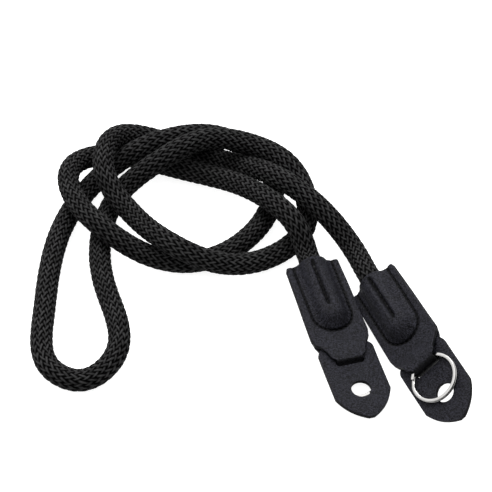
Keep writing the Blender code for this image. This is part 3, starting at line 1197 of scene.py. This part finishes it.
    def build(self, place: EndPlace, leather: Material, edge: Material) -> None:
        """Fold the strip and form its pocket.

        Args:
            place: Where the end lies.
            leather: The material of its faces.
            edge: The material of its cut edges.
        """
        path = self.side_path()
        rows = len(path) - 1
        clear_selection()
        bpy.ops.mesh.primitive_grid_add(x_subdivisions=self.columns, y_subdivisions=rows, size=2.0)
        tab = bpy.context.active_object
        tab.name = tab.data.name = f"{place.side}_leather_tab"
        grid = vertex_places(tab.data)
        row = np.rint((grid[:, 1] + 1.0) / 2.0 * rows).astype(int)
        y, z = path[row].T
        x = grid[:, 0] * (self.half_width(y) + self.edge_rounding)
        z = np.where(y < self.flat_end, np.where(row < rows / 2, 1.0, -1.0) * self.skin(x, y), z)
        move_vertices(tab.data, np.stack([x, y, z], axis=1))

        inwards = {"thickness": self.leather, "offset": -1.0, "use_even_offset": False}
        add_modifier(tab, "SOLIDIFY", material_offset_rim=1, **inwards)
        add_modifier(tab, "SUBSURF", levels=1, render_levels=1)
        tab.data.materials.append(leather)
        tab.data.materials.append(edge)
        apply_modifiers(tab)

        shaped = vertex_places(tab.data)
        x, y, z = shaped.T
        pull = np.where(y < self.sewn_end, self.sewing_pull(x, y), 0.0)
        turns, first = self.lean_wave
        lean = self.lean * np.sin(y * turns + first) * part_of(np.abs(x), 0.0, self.mouth_half_width) ** 2
        shaped[:, 2] = z - np.where(z >= 0.0, 1.0, -1.0) * pull + np.where(y < self.flat_end, lean, 0.0)
        move_vertices(tab.data, shaped)
        self.map_seam(tab.data)
        tab.matrix_world = place.matrix()
        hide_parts(f"{place.side}_tab")
        finish_piece(tab, Slot.LEATHER, smooth_angle=60.0)

    def map_seam(self, mesh: Mesh) -> None:
        """Keep where each point lies against the seam and the fold, for the leather's gathers and its painted
        shadow in the creases and on the fold.

        Args:
            mesh: The tab's mesh in its own frame.
        """
        x, y, _ = vertex_places(mesh).T
        along, inside = self.seam.nearest(x, y)
        corner_vertex = np.zeros(len(mesh.loops), dtype=np.int32)
        mesh.loops.foreach_get("vertex_index", corner_vertex)
        mesh.uv_layers.active.name = "strip"
        centimetres = np.stack([along, inside], axis=1) * 100.0
        keep_map(mesh, "seam", centimetres[corner_vertex])

        # The crease numbers mask the painted shadow along the seam, in the groove and on the fold's turn.
        margin = self.crease_margin
        in_seam = bell(inside, 0.0, self.crease_reach) * (y < self.sewn_end)
        in_groove = bell(x, self.groove_x, 0.75 * self.groove_half_width)
        in_groove *= (y > self.groove_start - margin) & (y < self.groove_end + margin)
        top = self.fold[4][0]
        on_fold = self.fold_shadow * part_of(y, top, top + margin)
        keep_numbers(mesh, "crease", np.maximum.reduce([in_seam, in_groove, on_fold]))
        depth = self.gather_mouth + (1.0 - self.gather_mouth) * part_of(y, *self.gather_y)
        on_bulge = part_of(inside, 0.0, self.gather_rise) * (1.0 - part_of(inside, *self.gather_fade))
        keep_numbers(mesh, "gather", depth * on_bulge)

    def sewn_height(self, spot: Vector, sink: float) -> float:
        """Find how high a stitch lies.

        Args:
            spot: A point of it, flat.
            sink: How deep it lies in the leather.

        Returns:
            The height over the middle of the strip, in metres.
        """
        x, y = np.array([spot.x]), np.array([spot.y])
        return float(self.skin(x, y)[0] - self.sewing_pull(x, y)[0]) - sink

    def stitch_seats(self) -> Iterator[Matrix]:
        """Find the places of the stitches of the U seam and of the groove, on both faces.

        Yields:
            The place of each stitch, with its thread along +Z.
        """
        spots = []
        for number in range(int(self.seam.length() / self.stitch)):
            spots.append((*self.seam.at((number + 0.5) * self.stitch), self.sink))
        for number in range(int((self.groove_end - self.groove_start) / self.stitch)):
            spot = Vector((self.groove_x, self.groove_start + (number + 0.5) * self.stitch, 0.0))
            spots.append((spot, Vector((0.0, 1.0, 0.0)), self.groove_sink))
        for face in Face:
            for spot, direction, sink in spots:
                height = self.sewn_height(spot, sink)
                ahead = direction * self.look_ahead
                rise = self.sewn_height(spot + ahead, sink) - height
                if abs(rise) <= self.steepest:
                    direction = (ahead + Vector((0.0, 0.0, rise))).normalized()
                direction = Vector((direction.x, direction.y, direction.z * face.value))
                seat = Matrix.Translation((spot.x, spot.y, height * face.value))
                yield seat @ direction.to_track_quat("Z", "Y").to_matrix().to_4x4()

    def sew(self, place: EndPlace, thread: Material) -> None:
        """Lay the stitches, each a copy of the first one.

        Args:
            place: Where the end lies.
            thread: The thread's material.
        """
        clear_selection()
        bpy.ops.mesh.primitive_uv_sphere_add(segments=8, ring_count=6, radius=1.0)
        pattern = bpy.context.active_object
        with editing(pattern):
            bpy.ops.transform.resize(value=(self.thread_radius, self.thread_radius * 0.8, self.stitch * 0.40))
        stitches = bmesh.new()
        for seat in self.stitch_seats():
            copy = pattern.data.copy()
            copy.transform(seat)
            stitches.from_mesh(copy)
            bpy.data.meshes.remove(copy)
        bpy.data.objects.remove(pattern, do_unlink=True)
        mesh = bpy.data.meshes.new(f"{place.side}_stitches")
        stitches.to_mesh(mesh)
        stitches.free()
        sewn = add_object(mesh.name, mesh)
        mesh.materials.append(thread)
        sewn.matrix_world = place.matrix()
        finish_piece(sewn, Slot.LEATHER, smooth_angle=180.0)


@dataclass
class LeatherPad:
    """The pointed pad that protects the camera: a flat piece with a slit for the tab and a hole for the lug.

    Attributes:
        thickness: Thickness of the pad.
        half_width: Half its width.
        shoulder: Where its square end starts.
        shoulder_radius: Radius of the corners there.
        corner: Where its sides turn towards the tip.
        tip: Where its tip ends.
        tip_half_width: Half the width of the blunt tip.
        arch: How far the edges to the tip bow out.
        hole_y: Middle of the hole.
        hole_radius: Radius of the hole.
        slit_y: Middle of the slit.
        slit_width: Width of the slit.
        slit_half_length: Half its length.
        bend_y: Where the pad bends.
        bend: How far it bends to the back, in degrees.
        edge: Radius of its worn edges.
    """

    thickness: float = 0.0015
    half_width: float = 0.0101
    shoulder: float = 0.0369
    shoulder_radius: float = 0.0030
    corner: float = 0.0585
    tip: float = 0.0684
    tip_half_width: float = 0.0010
    arch: float = 0.0013
    hole_y: float = 0.0564
    hole_radius: float = 0.0035
    slit_y: float = 0.0442
    slit_width: float = 0.0024
    slit_half_length: float = 0.0052
    bend_y: float = 0.0460
    bend: float = 2.5
    edge: float = 0.00028

    def outline(self) -> list[tuple[float, float]]:
        """The pad's outline from the front, anticlockwise."""
        radius = self.shoulder_radius
        x, y = self.half_width - radius, self.shoulder + radius
        angles = np.radians(np.linspace(-90.0, 0.0, 13))
        right = [(x + radius * math.cos(a), y + radius * math.sin(a)) for a in angles]
        start, end = Vector((self.half_width, self.corner)), Vector((self.tip_half_width, self.tip))
        along = end - start
        outwards = Vector((along.y, -along.x)).normalized()
        for t in np.linspace(0.0, 1.0, 19):
            right.append(tuple(start + along * t + outwards * (self.arch * 4.0 * t * (1.0 - t))))
        return right + [(-x, y) for x, y in reversed(right)]

    def slit(self) -> list[tuple[float, float]]:
        """The slit's outline, with half-round ends."""
        radius = self.slit_width / 2
        straight = self.slit_half_length - radius
        ends = []
        for middle, first in ((straight, -90.0), (-straight, 90.0)):
            for angle in np.radians(np.linspace(first, first + 180.0, 13)):
                ends.append((middle + radius * math.cos(angle), self.slit_y + radius * math.sin(angle)))
        return ends

    def hole(self) -> list[tuple[float, float]]:
        """The hole's outline."""
        angles = np.radians(np.arange(0.0, 360.0, 7.5))
        radius = self.hole_radius
        return [(radius * math.cos(a), self.hole_y + radius * math.sin(a)) for a in angles]

    def bent(self, point: Vector) -> Vector:
        """Where a point of the flat pad comes to lie once it is bent."""
        pivot = Vector((0.0, self.bend_y, 0.0))
        if point.y <= self.bend_y:
            return point
        return pivot + Matrix.Rotation(-math.radians(self.bend), 3, "X") @ (point - pivot)

    def build(self, place: EndPlace, leather: Material, edge: Material) -> None:
        """Cut the pad out, round its edges and bend it.

        Args:
            place: Where the end lies.
            leather: The material of its faces.
            edge: The material of its cut edges.
        """
        mesh = bpy.data.meshes.new(f"{place.side}_leather_pad")
        points: list[Point] = []
        edges: list[tuple[int, int]] = []
        for loop in (self.outline(), self.slit(), self.hole()):
            first = len(points)
            points += [(x, y, -self.thickness / 2) for x, y in loop]
            edges += [(first + i, first + (i + 1) % len(loop)) for i in range(len(loop))]
        mesh.from_pydata(points, edges, [])
        pad = add_object(mesh.name, mesh)
        with editing(pad):
            bpy.ops.mesh.fill(use_beauty=True)
            bpy.ops.mesh.select_all(action="SELECT")
            bpy.ops.mesh.extrude_region_move(TRANSFORM_OT_translate={"value": (0.0, 0.0, self.thickness)})
            bpy.ops.mesh.select_all(action="SELECT")
            bpy.ops.mesh.normals_make_consistent(inside=False)
            bpy.ops.mesh.bisect(plane_co=(0.0, self.bend_y, 0.0), plane_no=(0.0, 1.0, 0.0))
        mesh.materials.append(leather)
        mesh.materials.append(edge)
        for side in mesh.polygons:
            side.material_index = 1 if abs(side.normal.z) < 0.5 else 0
        sharp = {"limit_method": "ANGLE", "angle_limit": math.radians(50.0)}
        add_modifier(pad, "BEVEL", width=self.edge, segments=3, material=0, **sharp)
        apply_modifiers(pad)
        for vertex in mesh.vertices:
            vertex.co = self.bent(vertex.co)
        pad.matrix_world = place.matrix()
        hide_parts(f"{place.side}_pad")
        finish_piece(pad, Slot.LEATHER, smooth_angle=35.0)


@dataclass
class SplitRing:
    """The split ring: two turns of flat wire, one on the other, joined by a short slanting step.

    Attributes:
        outer_radius: Outside radius of the ring.
        wire_width: Width of the wire, across the ring.
        wire_height: Height of the wire.
        wire_edge: Radius of the wire's edges.
        turn_gap: Between the two turns.
        step_at: Where the wire steps from the lower turn to the upper one, in degrees.
        step_arc: How much of the ring the step takes, in degrees.
        end_gap: Between the step and each end of the wire, in degrees.
        y: Middle of the ring along the pad.
        over_pad: Between the pad's face and the ring.
        steps: Steps of the mesh along the wire.
    """

    outer_radius: float = 0.00885
    wire_width: float = 0.00115
    wire_height: float = 0.0007
    wire_edge: float = 0.00022
    turn_gap: float = 0.0001
    step_at: float = -21.0
    step_arc: float = 26.0
    end_gap: float = 2.5
    y: float = 0.0498
    over_pad: float = 0.0003
    steps: int = 288

    def build(self, place: EndPlace, pad: LeatherPad, nickel: Material) -> None:
        """Wind the wire into the ring and lay it on the pad.

        Args:
            place: Where the end lies.
            pad: The pad that it lies on.
            nickel: The wire's material.
        """
        clear_selection()
        upright = (math.pi / 2, 0.0, 0.0)
        bpy.ops.mesh.primitive_circle_add(vertices=4, radius=1.0, fill_type="NGON", rotation=upright)
        ring = bpy.context.active_object
        ring.name = ring.data.name = f"{place.side}_nickel_ring"
        pick(ring)
        bpy.ops.object.transform_apply(location=True, rotation=True, scale=True)
        a, b = self.wire_width / 2, self.wire_height / 2
        middle = self.outer_radius - a
        corners = vertex_places(ring.data)
        spread = np.arctan2(corners[:, 2], corners[:, 0]) + math.pi / 4
        corners[:, 0] = middle + a * np.sign(np.round(np.cos(spread), 3))
        corners[:, 1] = 0.0
        corners[:, 2] = b * np.sign(np.round(np.sin(spread), 3))
        move_vertices(ring.data, corners)
        with editing(ring):
            bpy.ops.mesh.bevel(offset=self.wire_edge, segments=4, affect="VERTICES")
        section = len(ring.data.vertices)
        start = math.radians(self.step_arc / 2 + self.end_gap)
        whole = 4.0 * math.pi - 2.0 * start
        with editing(ring):
            bpy.ops.mesh.spin(steps=self.steps, angle=whole, center=(0.0, 0.0, 0.0), axis=(0.0, 0.0, 1.0))
        self.set_levels(ring.data, section, start, whole)
        with editing(ring):
            bpy.ops.mesh.normals_make_consistent(inside=False)
        ring.data.materials.append(nickel)
        stack = self.wire_height * 2 + self.turn_gap
        seat = pad.bent(Vector((0.0, self.y, pad.thickness / 2 + self.over_pad + stack / 2)))
        lean = Matrix.Rotation(-math.radians(pad.bend), 4, "X")
        ring.matrix_world = place.matrix() @ Matrix.Translation(seat) @ lean
        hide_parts(f"{place.side}_split_ring")
        finish_piece(ring, Slot.METAL, smooth_angle=50.0)

    def set_levels(self, mesh: Mesh, section: int, start: float, whole: float) -> None:
        """Lay the second turn on the first.

        Args:
            mesh: The spun wire, both turns on one level, its sections in order.
            section: Points in each section of the wire.
            start: Where the wire starts, in radians.
            whole: The angle that the wire takes up.
        """
        places = vertex_places(mesh)
        number = np.arange(len(places)) // section
        turn = start + whole * number / self.steps
        half = math.radians(self.step_arc) / 2
        climbed = ease(part_of(turn, 2.0 * math.pi - half, 2.0 * math.pi + half))
        level = (self.wire_height + self.turn_gap) / 2 * (2.0 * climbed - 1.0)
        radius = np.hypot(places[:, 0], places[:, 1])
        angle = turn + math.radians(self.step_at)
        columns = (radius * np.cos(angle), radius * np.sin(angle), places[:, 2] + level)
        move_vertices(mesh, np.stack(columns, axis=1))


@dataclass
class LeatherEnd:
    """One end of the strap: the tab, its stitches, the pad and the split ring.

    Attributes:
        place: Where it lies.
        tab: The folded strip that holds the rope.
        pad: The pointed pad.
        ring: The split ring.
    """

    place: EndPlace
    tab: LeatherTab = field(default_factory=LeatherTab)
    pad: LeatherPad = field(default_factory=LeatherPad)
    ring: SplitRing = field(default_factory=SplitRing)

    def build(self, finishes: dict[str, Material]) -> None:
        """Make all pieces of the end.

        Args:
            finishes: The materials by name.
        """
        self.tab.build(self.place, finishes["gathered"], finishes["edge"])
        self.tab.sew(self.place, finishes["thread"])
        self.pad.build(self.place, finishes["flat"], finishes["edge"])
        self.ring.build(self.place, self.pad, finishes["nickel"])


def main() -> None:
    """Set up the studio, build the strap and note its size."""
    logging.basicConfig(level=logging.INFO, format="%(message)s")
    studio = Studio()
    studio.place_camera()
    BraidedRope().build(YarnFinish())
    finishes = {
        "gathered": LeatherFinish(wrinkles=True).material(),
        "flat": LeatherFinish().material(),
        "edge": CutEdgeFinish().material(),
        "thread": ThreadFinish().material(),
        "nickel": NickelFinish().material(),
    }
    for place in (LEFT, RIGHT):
        LeatherEnd(place).build(finishes)
    studio.lay_floor(FloorFinish())
    studio.light_room()


if __name__ == "__main__":
    main()
